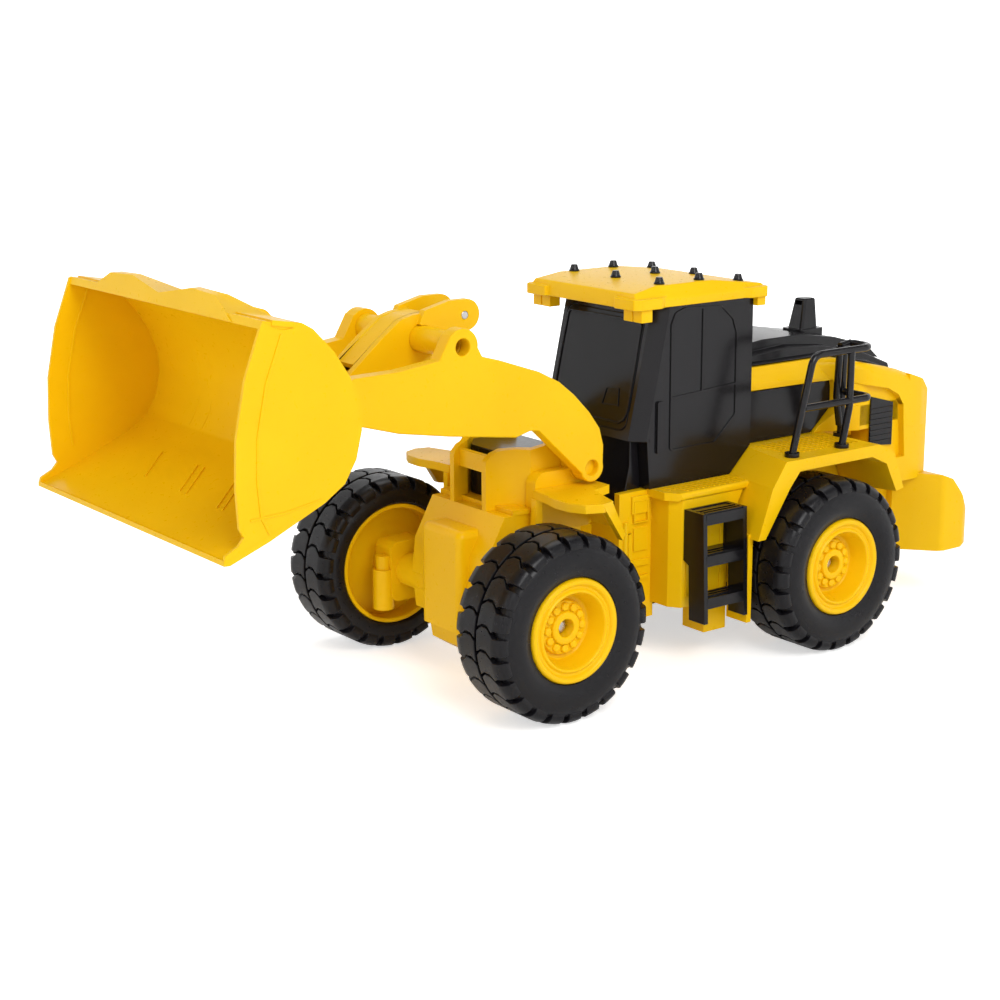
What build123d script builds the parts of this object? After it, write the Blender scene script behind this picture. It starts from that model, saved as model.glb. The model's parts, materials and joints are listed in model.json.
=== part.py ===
from build123d import *
import math
import os

# Toy wheel loader with an articulated frame, a Z-bar loader linkage and four free-rolling wheels.
# Millimetres.  +X is forward, +Y is the left-hand side, +Z is up, and Z = 0 is the ground.
# Points in this file are written from the front axle line: X = 0 there, before place() moves
# each sub-part so that the middle of the whole loader's footprint is the origin.

# ---- driving dimensions ----
WHEELBASE = 176.6
TYRE_RADIUS = 45.0
TYRE_OUTER_Y = 91.0
TYRE_INNER_Y = 55.0
LIP_X = 179.2                  # foremost point, the bucket's cutting lip
TAIL_X = -318.0                # rearmost point, the counterweight
FRAME_SHIFT = -(LIP_X + TAIL_X) / 2
RUNNING_GAP = 0.05             # radial, shaft in bore

# pivots, (x, z) from the front axle line
ARM_PIVOT = (-47.6, 106.9)
TUBE_AXIS = (29.0, 173.6)
BUCKET_PIVOT = (97.0, 153.7)
LINK_TOP = (114.3, 188.5)
LINK_FOOT = (82.9, 143.6)
EAR_PIN = (5.0, 182.4)
HITCH_X = -66.0

# loader linkage, across
ARM_INNER_Y, ARM_OUTER_Y = 36.0, 44.0
CRANK_PLATE = (6.2, 10.0)
EAR_PLATE = (8.6, 12.6)
LINK_HALF = 5.6
BUCKET_HALF = 87.7
BUCKET_WALL = 1.6

# wheels
ROD_R = 2.5
RIM_LIP_R = 24.6
RIM_SEAT_R = 25.2
RIM_BARREL_R = 31.5
HUB_MOUTH_R = 3.8
HUB_OUTER_R = 6.0
BOLT_COUNT = 12
BOLT_CIRCLE_R = 11.6
TREAD_LUGS = 24
LUG_DEPTH = 2.6

# rear unit
CAB_HALF = 40.0
CAB_FRONT_HALF = 33.0
WINDSHIELD_LEAN = 0.22         # the front falls back this much per mm of height
ROOF_HALF = 44.3
ROOF_UNDERSIDE = 180.2
DECK_Z = 102.0
PLATFORM_Z = 89.5
HOOD_SIDE_Y = 36.0
HOOD_REAR_Y = 50.0
RAIL_R = 1.9
RAIL_OUTER_Y, RAIL_INNER_Y = 70.0, 50.0
RAIL_TOP_Z, RAIL_MID_Z = 152.5, 126.0

LEFT, RIGHT = 1, -1


# ---- helpers ----
def place(shape):
    return Pos(FRAME_SHIFT, 0, 0) * shape


def outline(points, radius=0):
    if radius:
        return make_face(FilletPolyline(*points, radius=radius, close=True))
    return make_face(Polyline(*points, close=True))


def slab_y(points, y0, y1, radius=0):
    """Prism of an (x, z) outline between y0 and y1, y0 below y1."""
    face = Plane.XZ.offset(-y1) * outline(points, radius)
    return extrude(face, y1 - y0, dir=(0, -1, 0))


def slab_z(points, z0, z1, radius=0):
    """Prism of an (x, y) outline between z0 and z1."""
    return extrude(Pos(0, 0, z0) * outline(points, radius), z1 - z0)


def box(x0, x1, y0, y1, z0, z1):
    return Pos((x0 + x1) / 2, (y0 + y1) / 2, (z0 + z1) / 2) * Box(x1 - x0, y1 - y0, z1 - z0)


def rod_y(x, z, radius, y0, y1):
    return Pos(x, (y0 + y1) / 2, z) * Rot(90, 0, 0) * Cylinder(radius, y1 - y0)


def rod_z(x, y, radius, z0, z1):
    return Pos(x, y, (z0 + z1) / 2) * Cylinder(radius, z1 - z0)


def turned_y(profile):
    """Solid of revolution about the Y axis from (radius, y) points."""
    return revolve(outline(profile), Axis.Y)


def both_sides(shape):
    return shape + mirror(shape, about=Plane.XZ)


def loose(*shapes):
    """One node that holds separate solids."""
    return Compound([solid for shape in shapes for solid in shape.solids()])


def on_side(shape, side):
    return shape if side == LEFT else mirror(shape, about=Plane.XZ)


# ---- wheels ----
def tread_groove(angle):
    """One zig-zag groove across the tread, cut from outside towards the carcass."""
    half = (TYRE_OUTER_Y - TYRE_INNER_Y) / 2 + 1
    wide, narrow = 2.4, 1.1
    line = [(-half, 5.0), (-half * 0.55, 2.5), (-half * 0.35, -2.0), (0, 1.5),
            (half * 0.35, -2.0), (half * 0.55, 2.5), (half, 5.0)]
    upper = [(y, t + (wide if abs(y) > half * 0.5 else narrow)) for y, t in line]
    lower = [(y, t - (wide if abs(y) > half * 0.5 else narrow)) for y, t in reversed(line)]
    face = make_face(Polyline(*upper, *lower, close=True))
    mid_y = (TYRE_OUTER_Y + TYRE_INNER_Y) / 2
    tangent = Plane(origin=(TYRE_RADIUS - LUG_DEPTH, mid_y, 0), x_dir=(0, 1, 0), z_dir=(1, 0, 0))
    return Rot(0, angle, 0) * extrude(tangent * face, LUG_DEPTH + 3)


def tyre():
    """Tyre with rounded shoulders, a square tread and zig-zag grooves between the lugs."""
    r, outer, inner = TYRE_RADIUS, TYRE_OUTER_Y, TYRE_INNER_Y
    carcass = turned_y([
        (RIM_SEAT_R, 84), (RIM_SEAT_R, outer - 1.2), (RIM_SEAT_R + 1.6, outer), (r - 9, outer),
        (r - 4.2, outer - 1.2), (r - 1.2, outer - 4.2), (r, outer - 8), (r, inner + 8),
        (r - 1.2, inner + 4.2), (r - 4.2, inner + 1.2), (r - 9, inner), (RIM_BARREL_R + 1.2, inner),
        (RIM_BARREL_R, inner + 1.2), (RIM_BARREL_R, 84)])
    grooves = [tread_groove(360 / TREAD_LUGS * n) for n in range(TREAD_LUGS)]
    return carcass - grooves


def rim():
    dish = 79.0
    body = turned_y([
        (RIM_SEAT_R, 89.6), (RIM_LIP_R, 90.4), (22.8, 90.4), (22.2, 88.8), (20.8, 88.8),
        (20.2, 87.2), (18.8, 87.2), (17.4, dish), (HUB_OUTER_R, dish), (HUB_OUTER_R, 85.2),
        (HUB_MOUTH_R, 85.2), (HUB_MOUTH_R, 77.0), (ROD_R + RUNNING_GAP, 77.0),
        (ROD_R + RUNNING_GAP, 59.5), (7.5, 59.5), (7.5, 67.0), (29.0, 67.0), (29.0, 56.8),
        (RIM_BARREL_R, 56.2), (RIM_BARREL_R, 84.0), (RIM_SEAT_R, 84.0)])
    bolts = []
    for n in range(BOLT_COUNT):
        a = 2 * math.pi * n / BOLT_COUNT
        x, z = BOLT_CIRCLE_R * math.cos(a), BOLT_CIRCLE_R * math.sin(a)
        bolts.append(rod_y(x, z, 2.1, dish - 1, dish + 1.8))
    return body + bolts


def retainer():
    """Push-on washer that keeps a wheel on its rod, inside the hub's mouth."""
    ring = turned_y([(ROD_R, 77.3), (HUB_MOUTH_R - 0.5, 77.3), (HUB_MOUTH_R - 0.5, 78.3),
                     (ROD_R, 78.3)])
    return ring


def axle_casing():
    """Beam around an axle rod, with the two end boxes that reach into the wheels."""
    beam = rod_y(0, TYRE_RADIUS, 8.5, -46, 46)
    end = slab_y([(-11, 29), (11, 29), (11, 60), (-11, 60)], 44, 58, radius=4)
    boss = rod_z(12.5, 49.6, 5.4, 25, 46) + rod_z(12.5, 49.6, 3.8, 46, 53)
    solid = beam + both_sides(end) + both_sides(boss)
    return solid - rod_y(0, TYRE_RADIUS, ROD_R, -60, 60)


def axle_rod():
    return rod_y(0, TYRE_RADIUS, ROD_R, -79.3, 79.3)


# ---- front unit ----
FRAME_HALF = 30.0
FRAME_TOP = 86.0


def front_frame():
    """Sloped front plate, housing over the differential, belly and the hitch tongue."""
    housing = slab_y([(-4.9, FRAME_TOP), (6.0, 66), (8.0, 50), (6.0, 30), (-50, 30),
                      (-52, 40), (-52, 78), (-46, FRAME_TOP)], -FRAME_HALF, FRAME_HALF)
    belly = slab_y([(6.0, 34), (3.0, 16), (-8, 9), (-36, 9), (-50, 20), (-50, 34)], -20, 20)
    nose = box(-2, 12.4, -16.5, 16.5, 27, 78)
    nose = fillet(nose.edges().filter_by(Axis.Z).sort_by(Axis.X)[-2:], 4)
    nose = fillet(nose.faces().sort_by(Axis.Z)[-1].edges().sort_by(Axis.X)[-1], 4)
    tongue = slab_z([(-50, -15), (-50, 15), (-66, 8.5), (-66, -8.5)], 41, 61)
    tongue += rod_z(HITCH_X, 0, 8.5, 41, 61)
    bore = rod_z(HITCH_X, 0, 4 + RUNNING_GAP, 30, 70)
    casing_seat = rod_y(0, TYRE_RADIUS, 8.5, -41, 41)
    return housing + belly + nose + tongue - bore - casing_seat


def tower():
    """Two nose walls that open out towards the rear, and the outer cheeks with the arm pivots."""
    back = -54.5
    wall = slab_z([(-5, 11.4), (-5, 14.8), (-12, 15.8), (-18.5, 21), (-22, 28), (back, 28),
                   (back, 24.6), (-25, 24.6), (-21, 18.4), (-14, 12.4)], FRAME_TOP, 122)
    keep = slab_y([(-4, FRAME_TOP), (-4, 106.5), (-5.6, 111), (-9, 114), (-14, 115.6), (-30, 117.4),
                   (-50, 120.6), (-53.4, 119.6), (back, 117), (back, FRAME_TOP)], 0, 60)
    cheek = slab_y([(-20, FRAME_TOP - 2), (-20, 106), (back, 106), (back, FRAME_TOP - 2)], 27, 34.4,
                   radius=6)
    cheek += slab_y([(-22, FRAME_TOP), (-22, 90), (back, 106), (back, FRAME_TOP)], 27, 34.4)
    boss = rod_y(*ARM_PIVOT, 6.9, 27, 35.4)
    trunnion = rod_y(*ARM_PIVOT, 3.8, 34.0, 40.5)
    half = (wall & keep) + (cheek - box(-60, 0, 20, 40, 70, FRAME_TOP)) + boss + trunnion
    bar = box(-12, -8.5, -13.2, 13.2, 103.6, 112)
    deck = slab_z([(-10, -30), (-10, 30), (-22, 31.5), (back, 31.5), (back, -31.5), (-22, -31.5)],
                  FRAME_TOP, FRAME_TOP + 2.4)
    return both_sides(half) + bar + deck


def core_block():
    """Dark block that stands inside the tower."""
    top = 113.0
    return slab_z([(-17, -13.5), (-17, 13.5), (-26, 24), (-50, 24), (-50, -24), (-26, -24)],
                  FRAME_TOP + 2.4, top)


def mudguard():
    """Left front mudguard: flat top with a rounded front, and a skirt behind the wheel."""
    top, sheet = 98.5, 4.2
    plate = slab_z([(-18.5, 34.4), (-17, 46), (-14.5, 56), (-15, 66), (-19, 73.5), (-27, 77),
                    (-34.5, 75), (-41.5, 53), (-54.5, 48.5), (-54.5, 34.4)], top - sheet, top)
    shoulder = slab_z([(-17.5, 34.4), (-17.5, 38), (-19.5, 40.4), (-48, 40.4), (-52, 38), (-52, 34.4)],
                      FRAME_TOP - 8, top - sheet)
    bracket = box(-50, -20, 29, 34.4, FRAME_TOP - 8, FRAME_TOP)
    rim_top = [(-27, 77), (-34.5, 75), (-41.5, 53), (-41.5, 40),
               (-38.5, 40), (-38.5, 53.5), (-32.3, 72), (-27, 74)]
    rim_low = [(-39, 77), (-47.5, 69), (-54, 54), (-54, 40),
               (-51, 40), (-51, 53), (-45.3, 66.5), (-39, 73)]
    skirt = loft([Pos(0, 0, top - 1) * outline(rim_top), Pos(0, 0, 79) * outline(rim_low)],
                 ruled=True)
    return plate + shoulder + skirt + bracket - box(-50, -14, 20, 30.05, 70, FRAME_TOP + 0.05)


# ---- loader linkage ----
def arm(y0, y1):
    body = slab_y([
        (87.4, 165.8), (95, 162.6), (104.0, 153.7), (97, 144.5), (83.2, 143.5), (64.2, 138.1),
        (36.8, 133.3), (-1.6, 127.8), (-9.9, 129.9), (-14.6, 129.3), (-41.7, 104.3),
        (-47.6, 100.6), (-54.2, 104.6), (-54.6, 117.4), (-52.1, 126.1), (-45.7, 134.7),
        (-36.4, 144.1), (-27.2, 151.4), (-15.2, 157.5), (8.2, 165.5), (17.9, 168.1),
        (24.1, 179.3), (29.5, 182.0), (35.7, 179.6), (42.0, 168.7), (63.7, 166.2)], y0, y1)
    eye = rod_y(*BUCKET_PIVOT, 9.4, y0, y1)
    heel = rod_y(*ARM_PIVOT, 7.0, y0, y1)
    crown = rod_y(*TUBE_AXIS, 8.6, y0, y1)
    holes = [rod_y(*ARM_PIVOT, 3.8 + RUNNING_GAP, y0 - 1, y1 + 1),
             rod_y(*TUBE_AXIS, 3.9, y0 - 1, y1 + 1),
             rod_y(*BUCKET_PIVOT, 3.0, y0 - 1, y1 + 1)]
    return body + eye + heel + crown - holes


def arm_left():
    return arm(ARM_INNER_Y, ARM_OUTER_Y)


def cross_tube():
    tube = rod_y(*TUBE_AXIS, 6.2, -ARM_INNER_Y, ARM_INNER_Y)
    return tube - rod_y(*TUBE_AXIS, 3.9, -40, 40)


def bucket_hinge_pins():
    half = rod_y(*BUCKET_PIVOT, 3.0, 32.2, 47.8)
    return loose(half, mirror(half, about=Plane.XZ))


def bellcrank():
    """Two plates and a top web on a hub that turns on the cross tube, with two rear ears."""
    plate = slab_y([
        (19.5, 180.5), (24, 185.6), (33.5, 184.6), (40.2, 182.7), (51.4, 174.5), (68.1, 160.6),
        (87.0, 148.2), (84, 137.6), (62, 143.5), (40, 156), (22, 165.5), (19, 172)], *CRANK_PLATE)
    plate += rod_y(*LINK_FOOT, 6.4, *CRANK_PLATE)
    plate += rod_y(*TUBE_AXIS, 10.2, *CRANK_PLATE)
    ear = slab_y([(4, 190.0), (14, 190.0), (28, 186.6), (31, 180.5), (20, 174.6), (4, 175.0)],
                 *EAR_PLATE)
    ear += rod_y(4.0, 182.5, 7.5, *EAR_PLATE)
    web = slab_y([(25, 185.4), (33.5, 184.4), (40.0, 182.5), (51.2, 174.3), (63.5, 164.2),
                  (61.5, 161.6), (49.4, 171.8), (38.6, 179.6), (27, 182.0)], -7, 7)
    hub = rod_y(*TUBE_AXIS, 9.4, -7, 7)
    bores = [rod_y(*TUBE_AXIS, 6.2 + RUNNING_GAP, -20, 20), rod_y(*LINK_FOOT, 2.0, -20, 20),
             rod_y(*EAR_PIN, 2.0, -20, 20)]
    return both_sides(plate + ear) + web + hub - bores


def tilt_link():
    """Link from the bucket's top pin down to the bellcrank, with a slot at its open pivot."""
    slot_angle = math.radians(73.3)
    x0, z0 = LINK_FOOT
    far = 5.4
    x1, z1 = x0 + far * math.cos(slot_angle), z0 + far * math.sin(slot_angle)
    half = LINK_HALF - 0.2
    hull = make_hull([*(Pos(*LINK_TOP) * Circle(5.2)).edges(),
                      *(Pos(x0, z0) * Circle(5.0)).edges()])
    body = extrude(Plane.XZ.offset(-half) * hull, 2 * half, dir=(0, -1, 0))
    body += rod_y(x1, z1, 5.2, -half, half)
    slot = rod_y(x0, z0, 2.5, -20, 20) + rod_y(x1, z1, 2.5, -20, 20)
    mid = Pos((x0 + x1) / 2, 0, (z0 + z1) / 2) * Rot(0, -math.degrees(slot_angle), 0)
    slot += mid * Box(far, 40, 5.0)
    return body - slot - rod_y(*LINK_TOP, 2.0 + RUNNING_GAP, -20, 20)


SIDE_OUTLINE = [
    (158.2, 202.7), (166.7, 180.6), (171.6, 157.0), (172.5, 137.1), (171.6, 120.6), (169.6, 116.8),
    (172.4, 113.6), (178.4, 110.6), (LIP_X, 106.6), (176.4, 106.4), (157.8, 113.4), (131.4, 125.4),
    (121.5, 132.0), (115.6, 141.6), (112.6, 153.6), (113.4, 164.1), (117.6, 176.0), (125.0, 187.3),
    (134.9, 197.7), (141.2, 199.4), (148.2, 198.4), (152.6, 199.5)]


def bucket_section(thickness):
    """(x, z) points of the floor, the curved back and the top flange, as one band."""
    outer = [(LIP_X, 106.6), (176.4, 106.4), (157.8, 113.4), (131.4, 125.4), (121.5, 132.0),
             (115.6, 141.6), (112.6, 153.6), (113.4, 164.1), (117.6, 176.0), (125.0, 187.3),
             (134.9, 197.7), (140.0, 200.6), (153.5, 203.0)]
    inner = []
    for n in range(len(outer) - 1, -1, -1):
        a = outer[max(n - 1, 0)]
        b = outer[min(n + 1, len(outer) - 1)]
        length = math.hypot(b[0] - a[0], b[1] - a[1])
        nx, nz = (b[1] - a[1]) / length, -(b[0] - a[0]) / length
        inner.append((outer[n][0] + nx * thickness, outer[n][1] + nz * thickness))
    return outer + inner


def spill_guard():
    """Raised wall on the bucket's top edge: two humps with a dip between them."""
    front_view = Plane.YZ * outline([(-64, 200), (-48, 208.6), (-27, 209.6), (0, 204.8), (27, 209.6),
                                     (48, 208.6), (64, 200)])
    wall = Pos(135, 0, 0) * extrude(front_view, 30, dir=(1, 0, 0))
    lean = slab_y([(137.0, 199.0), (152.5, 210.0), (156.0, 209.6), (159.0, 200.0)], -70, 70)
    return wall & lean


def bucket():
    skin = slab_y(bucket_section(2.2), -BUCKET_HALF, BUCKET_HALF)
    side = slab_y(SIDE_OUTLINE, BUCKET_HALF - BUCKET_WALL, BUCKET_HALF)
    flange = slab_y([(138.0, 199.2), (157.6, 203.0), (158.4, 199.6), (148.0, 196.4), (138.0, 196.8)],
                    -BUCKET_HALF + 0.5, BUCKET_HALF - 0.5)
    ear = slab_y([(121, 171), (103, 161.5), (97, 145.6), (104, 139.6), (122, 133.5)], 44.4, 47.4)
    ear += rod_y(*BUCKET_PIVOT, 8.0, 44.4, 47.4)
    inner_ear = Pos(0, -(44.4 - 32.6), 0) * ear
    lug = slab_y([(114, 195.2), (121, 197.6), (137, 200.4), (128, 190.5), (117.5, 176.5),
                  (110.0, 183.5)], LINK_HALF + 0.2, 9.6)
    lug += rod_y(*LINK_TOP, 6.6, LINK_HALF + 0.2, 9.6)
    body = skin + both_sides(side) + flange + spill_guard() + both_sides(ear + inner_ear + lug)
    clear = slab_y([(180, 108.6), (158, 115.8), (132, 127.8), (123.3, 133.6), (117.8, 142.4),
                    (114.8, 153.8), (115.6, 163.4), (119.6, 175), (126.8, 186.0), (136.4, 195.8),
                    (146, 196.5), (180, 150)], -BUCKET_HALF + BUCKET_WALL, BUCKET_HALF - BUCKET_WALL)
    bores = rod_y(*LINK_TOP, 2.0, -20, 20)
    hinge = both_sides(rod_y(*BUCKET_PIVOT, 3.0 + RUNNING_GAP, 30, 50))
    return body - clear - bores - hinge


# ---- rear unit ----
def rear_chassis():
    """Front block with the hitch lugs, the tanks under the platforms and the long rear beam."""
    block = box(-94, -71, -37, 37, 22, 88.8)
    tank = slab_z([(-92, -50), (-92, 50), (-96, 56), (-146, 56), (-146, 36), (-286, 36), (-286, -36),
                   (-146, -36), (-146, -56), (-96, -56)], 30, 85.5)
    wheel_arch = slab_y([(-127, 10), (-127, 66), (-139.6, 90), (-205, 90), (-226, 60), (-226, 10)],
                        36, 60)
    leg = box(-127, -112, 40, 56, 14, 31)
    lug = slab_z([(-72, -17), (-72, 17), (HITCH_X, 8.5), (HITCH_X, -8.5)], 0, 7.5)
    lug += rod_z(HITCH_X, 0, 8.5, 0, 7.5)
    lugs = Pos(0, 0, 61.6) * lug + Pos(0, 0, 32.9) * lug
    pads = both_sides(box(-90, -78.5, 36.5, 38.2, 77.5, 86.5)
                      + box(-89, -80, 36.5, 37.9, 58, 70) + box(-90.5, -77.5, 36.5, 38, 50, 53.5)
                      + rod_z(-75, 36.8, 1.7, 26, 74))
    solid = block + tank - both_sides(wheel_arch) + both_sides(leg) + lugs + pads
    swing_room = rod_z(HITCH_X, 0, 9.6, 40.4, 61.6)
    casing_seat = rod_y(-WHEELBASE, TYRE_RADIUS, 8.5, -41, 41)
    lip_room = box(-79.5, -70, -CAB_FRONT_HALF - 0.1, CAB_FRONT_HALF + 0.1, 77, 90)
    return solid - swing_room - casing_seat - lip_room - rod_z(HITCH_X, 0, 4.0, 20, 80)


def hitch_pin():
    shank = rod_z(HITCH_X, 0, 4.0, 31.5, 69.3)
    return shank + rod_z(HITCH_X, 0, 4.9, 69.1, 71.5)


def rear_deck():
    """One moulding: the two side platforms, the ramps and the mudguards over the rear wheels."""
    platform = slab_z([(-89, 37), (-89, 50), (-94.5, 57), (-150, 57), (-150, 37)],
                      PLATFORM_Z - 4, PLATFORM_Z)
    platform = fillet(platform.edges().filter_by(Axis.X).sort_by(Axis.Y)[-2:], 1.6)
    inner = [(-130, 64), (-144, 89.5), (-157, DECK_Z), (-214, DECK_Z), (-228, 95), (-237, 72),
             (-231, 71), (-222, 89), (-210, 96), (-160, 96), (-149, 86), (-134, 64)]
    outer = [(-127.6, 64), (-137, 89.5), (-146, DECK_Z), (-214, DECK_Z), (-226, 96), (-234, 76),
             (-228.5, 75), (-220, 91), (-209, 96), (-156, 96), (-149, 88), (-132.8, 64)]
    guard = loft([Plane.XZ.offset(-36.5) * outline(inner), Plane.XZ.offset(-77.5) * outline(outer)],
                 ruled=True)
    wall = slab_y([(-131, 64), (-157, DECK_Z), (-214, DECK_Z), (-228, 95), (-237, 72), (-230, 86)],
                  36.5, 38.5)
    web = slab_z([(-158, -37), (-158, 37), (-236, 37), (-236, -37)], DECK_Z - 4, DECK_Z)
    skirt = box(-130.3, -127.2, 56.4, 71, 20, 66)
    return both_sides(platform + guard + wall + skirt) + web


def hood_shell():
    """Yellow engine cover: narrow behind the cab, wider round the radiator at the back."""
    plan = [(-157.5, -33.5), (-157.5, 33.5), (-212, HOOD_SIDE_Y), (-238, HOOD_REAR_Y),
            (-276, HOOD_REAR_Y), (-286, 46.5), (-291, 38), (-291, -38), (-286, -46.5),
            (-276, -HOOD_REAR_Y), (-238, -HOOD_REAR_Y), (-212, -HOOD_SIDE_Y)]
    body = slab_z(plan, DECK_Z, 141)
    rear = slab_z([(-241, -HOOD_REAR_Y), (-241, HOOD_REAR_Y), (-276, HOOD_REAR_Y), (-286, 46.5),
                   (-291, 38), (-291, -38), (-286, -46.5), (-276, -HOOD_REAR_Y)], 70, DECK_Z + 2)
    body += rear
    keep = slab_y([(-150, 60), (-150, 141), (-222, 141), (-256, 133.5), (-279, 125.5), (-288, 117),
                   (-292, 104), (-292, 60)], -60, 60)
    body = body & keep
    for side in (LEFT, RIGHT):
        narrow = Plane(origin=(-157, side * 30, 141), x_dir=(-1, 0, 0),
                       z_dir=(0, side * 0.86, 0.51))
        body -= narrow * Pos(40, 0, 10) * Box(140, 60, 20)
    pocket = slab_y([(-232, 84), (-232, 127), (-250, 123.4), (-258.5, 119), (-262.6, 113), (-265, 84)],
                    HOOD_REAR_Y - 4.0, 60)
    inset = slab_y([(-158, DECK_Z - 1), (-158, 129.6), (-221.5, 129.6), (-221.5, 114), (-207, DECK_Z - 1)],
                   32.8, 60)
    body -= both_sides(pocket) + both_sides(inset)
    return body - box(-286, -230, -HOOD_SIDE_Y, HOOD_SIDE_Y, 60, 85.5)


def side_panel():
    """Dark panel let into the hood's side, with a slanted rear end."""
    return slab_y([(-158.3, DECK_Z + 0.2), (-158.3, 129.3), (-221.2, 129.3), (-221.2, 114.1),
                   (-207.4, DECK_Z + 0.2)], 32.8, 34.4)


def grille():
    panel = slab_y([(-240, 93), (-240, 119.6), (-257.5, 114.8), (-257.5, 91)], HOOD_REAR_Y - 4.0,
                   HOOD_REAR_Y - 2.8)
    slats = [slab_y([(-239, z), (-239, z + 0.9), (-256.5, z + 0.9), (-256.5, z)],
                    HOOD_REAR_Y - 3.2, HOOD_REAR_Y - 2.2) for z in range(94, 115, 3)]
    return panel + slats


def hood_top():
    """Dark ridge along the top of the hood, with the bevels that run down to its flange."""
    flange = slab_y([(-157.5, 141), (-157.5, 142.6), (-222, 142.6), (-256, 135.2), (-279, 127.1),
                     (-279, 125.5), (-256, 133.5), (-222, 141)], -28.5, 28.5)
    low = [(-157.5, 141), (-157.5, 145.5), (-200, 148.2), (-226, 146.0), (-256, 139.5),
           (-277, 131.2), (-279, 125.5), (-256, 133.5), (-222, 141)]
    ridge = slab_y(low, -25, 25)
    high = slab_y([(-157.5, 144), (-157.5, 149.6), (-185, 152.6), (-214, 152.6), (-240, 148.6),
                   (-266, 141.6), (-276, 133.5), (-256, 137), (-222, 144)], -19, 19)
    return flange + ridge + high


def exhaust_stack():
    foot = slab_z([(-225, -7.5), (-225, 7.5), (-243.5, 7.5), (-243.5, -7.5)], 146, 152.2, radius=2.5)
    stack = loft([Pos(-234, 0, 152.0) * Rectangle(13, 11), Pos(-235.4, 0, 168.5) * Rectangle(8.8, 8.2)],
                 ruled=True)
    stack = fillet(stack.edges().filter_by(lambda e: abs((e % 0.5).Z) > 0.5), 1.8)
    stack = fillet(stack.faces().sort_by(Axis.Z)[-1].edges(), 1.2)
    mouth = Pos(-231.8, 0, 165.5) * Rot(0, 40, 0) * Box(3, 5, 4)
    return foot + stack - mouth - hood_top()


def counterweight():
    """Heavy rear block: bevelled front, rounded rear corners and a back that slopes outwards."""
    half_plan = [(-268, 40), (-273, 45), (-285, 59.4), (-289, 61.2), (-303, 61.2), (-309, 58.6),
                 (-314, 53.6), (TAIL_X, 45)]
    plan = slab_z(half_plan + [(x, -y) for x, y in reversed(half_plan)], 28.5, 73)
    keep = slab_y([(-260, 28.5), (-260, 73), (-286, 72.2), (-294, 69), (-301, 61), (-314, 42.5),
                   (TAIL_X, 38.8), (TAIL_X, 35), (-310, 29.6), (-302, 28.5)], -70, 70)
    seat = box(-286, -260, -36, 36, 20, 85.5)
    return (plan & keep) - seat - slab_z([(-240, -50), (-240, 50), (-276, 50), (-286, 46.5), (-291, 38),
                                          (-291, -38), (-286, -46.5), (-276, -50)], 70, 80)


def front_x(z):
    """X of the cab's front face at height z."""
    return -79.5 - WINDSHIELD_LEAN * (z - 115)


WINDSHIELD_MID_Z = 146.5


def windshield_plane(offset=0.0):
    lean = math.atan(WINDSHIELD_LEAN)
    normal = Vector(math.cos(lean), 0, math.sin(lean))
    origin = Vector(front_x(WINDSHIELD_MID_Z), 0, WINDSHIELD_MID_Z) + normal * offset
    return Plane(origin=origin, x_dir=(0, 1, 0), z_dir=normal)


def cab_shell():
    top = ROOF_UNDERSIDE
    body = slab_y([(front_x(114), 114), (front_x(top), top), (-156.5, top), (-156.9, 103.4),
                   (-142.6, PLATFORM_Z), (-88, PLATFORM_Z), (-86, 114)], -CAB_HALF, CAB_HALF)
    for side in (LEFT, RIGHT):
        edge = Plane(origin=(front_x(150), side * CAB_FRONT_HALF, 150), x_dir=(0, 0, 1),
                     z_dir=(0.75, side * 0.661, 0.165))
        body -= edge * Pos(0, 0, 15) * Box(200, 80, 30)
    pocket = extrude(windshield_plane(-1.4) * RectangleRounded(60.6, 58.6, 5.3), 3)
    return body - pocket + both_sides(door_ridges())


def door_ridges():
    """Raised lines on the cab's side: the door's outline, two dividers and the grab strip."""
    y0, y1 = CAB_HALF - 0.5, CAB_HALF + 0.6
    ring = outline([(-101.3, 107.5), (-131.5, 107.8), (-145.6, 120.8), (-145.4, 163), (-142.6, 170.5),
                    (-135, 177.2), (-110, 178.4), (-103.6, 176.4), (-101, 171)], 2)
    loop = extrude(Plane.XZ.offset(-y1) * (offset(ring, 0.55) - offset(ring, -0.55)), y1 - y0,
                   dir=(0, -1, 0))
    middle = slab_y([(-101.3, 133.4), (-101.3, 134.6), (-145.5, 137.4), (-145.5, 136.2)], y0, y1)
    post = box(-122.6, -121.5, y0, y1, 135, 177.8)
    strip = slab_y([(-91.8, 107), (-91.8, 133.6), (-96.4, 133.2), (-96.4, 107)], y0, y1 + 0.6, radius=1.2)
    return loop + middle + post + strip


def windshield():
    glass = extrude(windshield_plane(-1.4) * RectangleRounded(59.8, 57.8, 5), 1.6)
    return glass


def cab_base():
    """Dark box at the cab's foot; its front slopes forward to a lip over the hitch."""
    return slab_y([(-80.7, 114), (-80.7, 101), (-75.6, 81), (-75.6, 77), (-79.5, 77), (-79.5, 88.9),
                   (-88, 88.9), (-88, PLATFORM_Z), (-86, 114)], -CAB_FRONT_HALF, CAB_FRONT_HALF)


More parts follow.
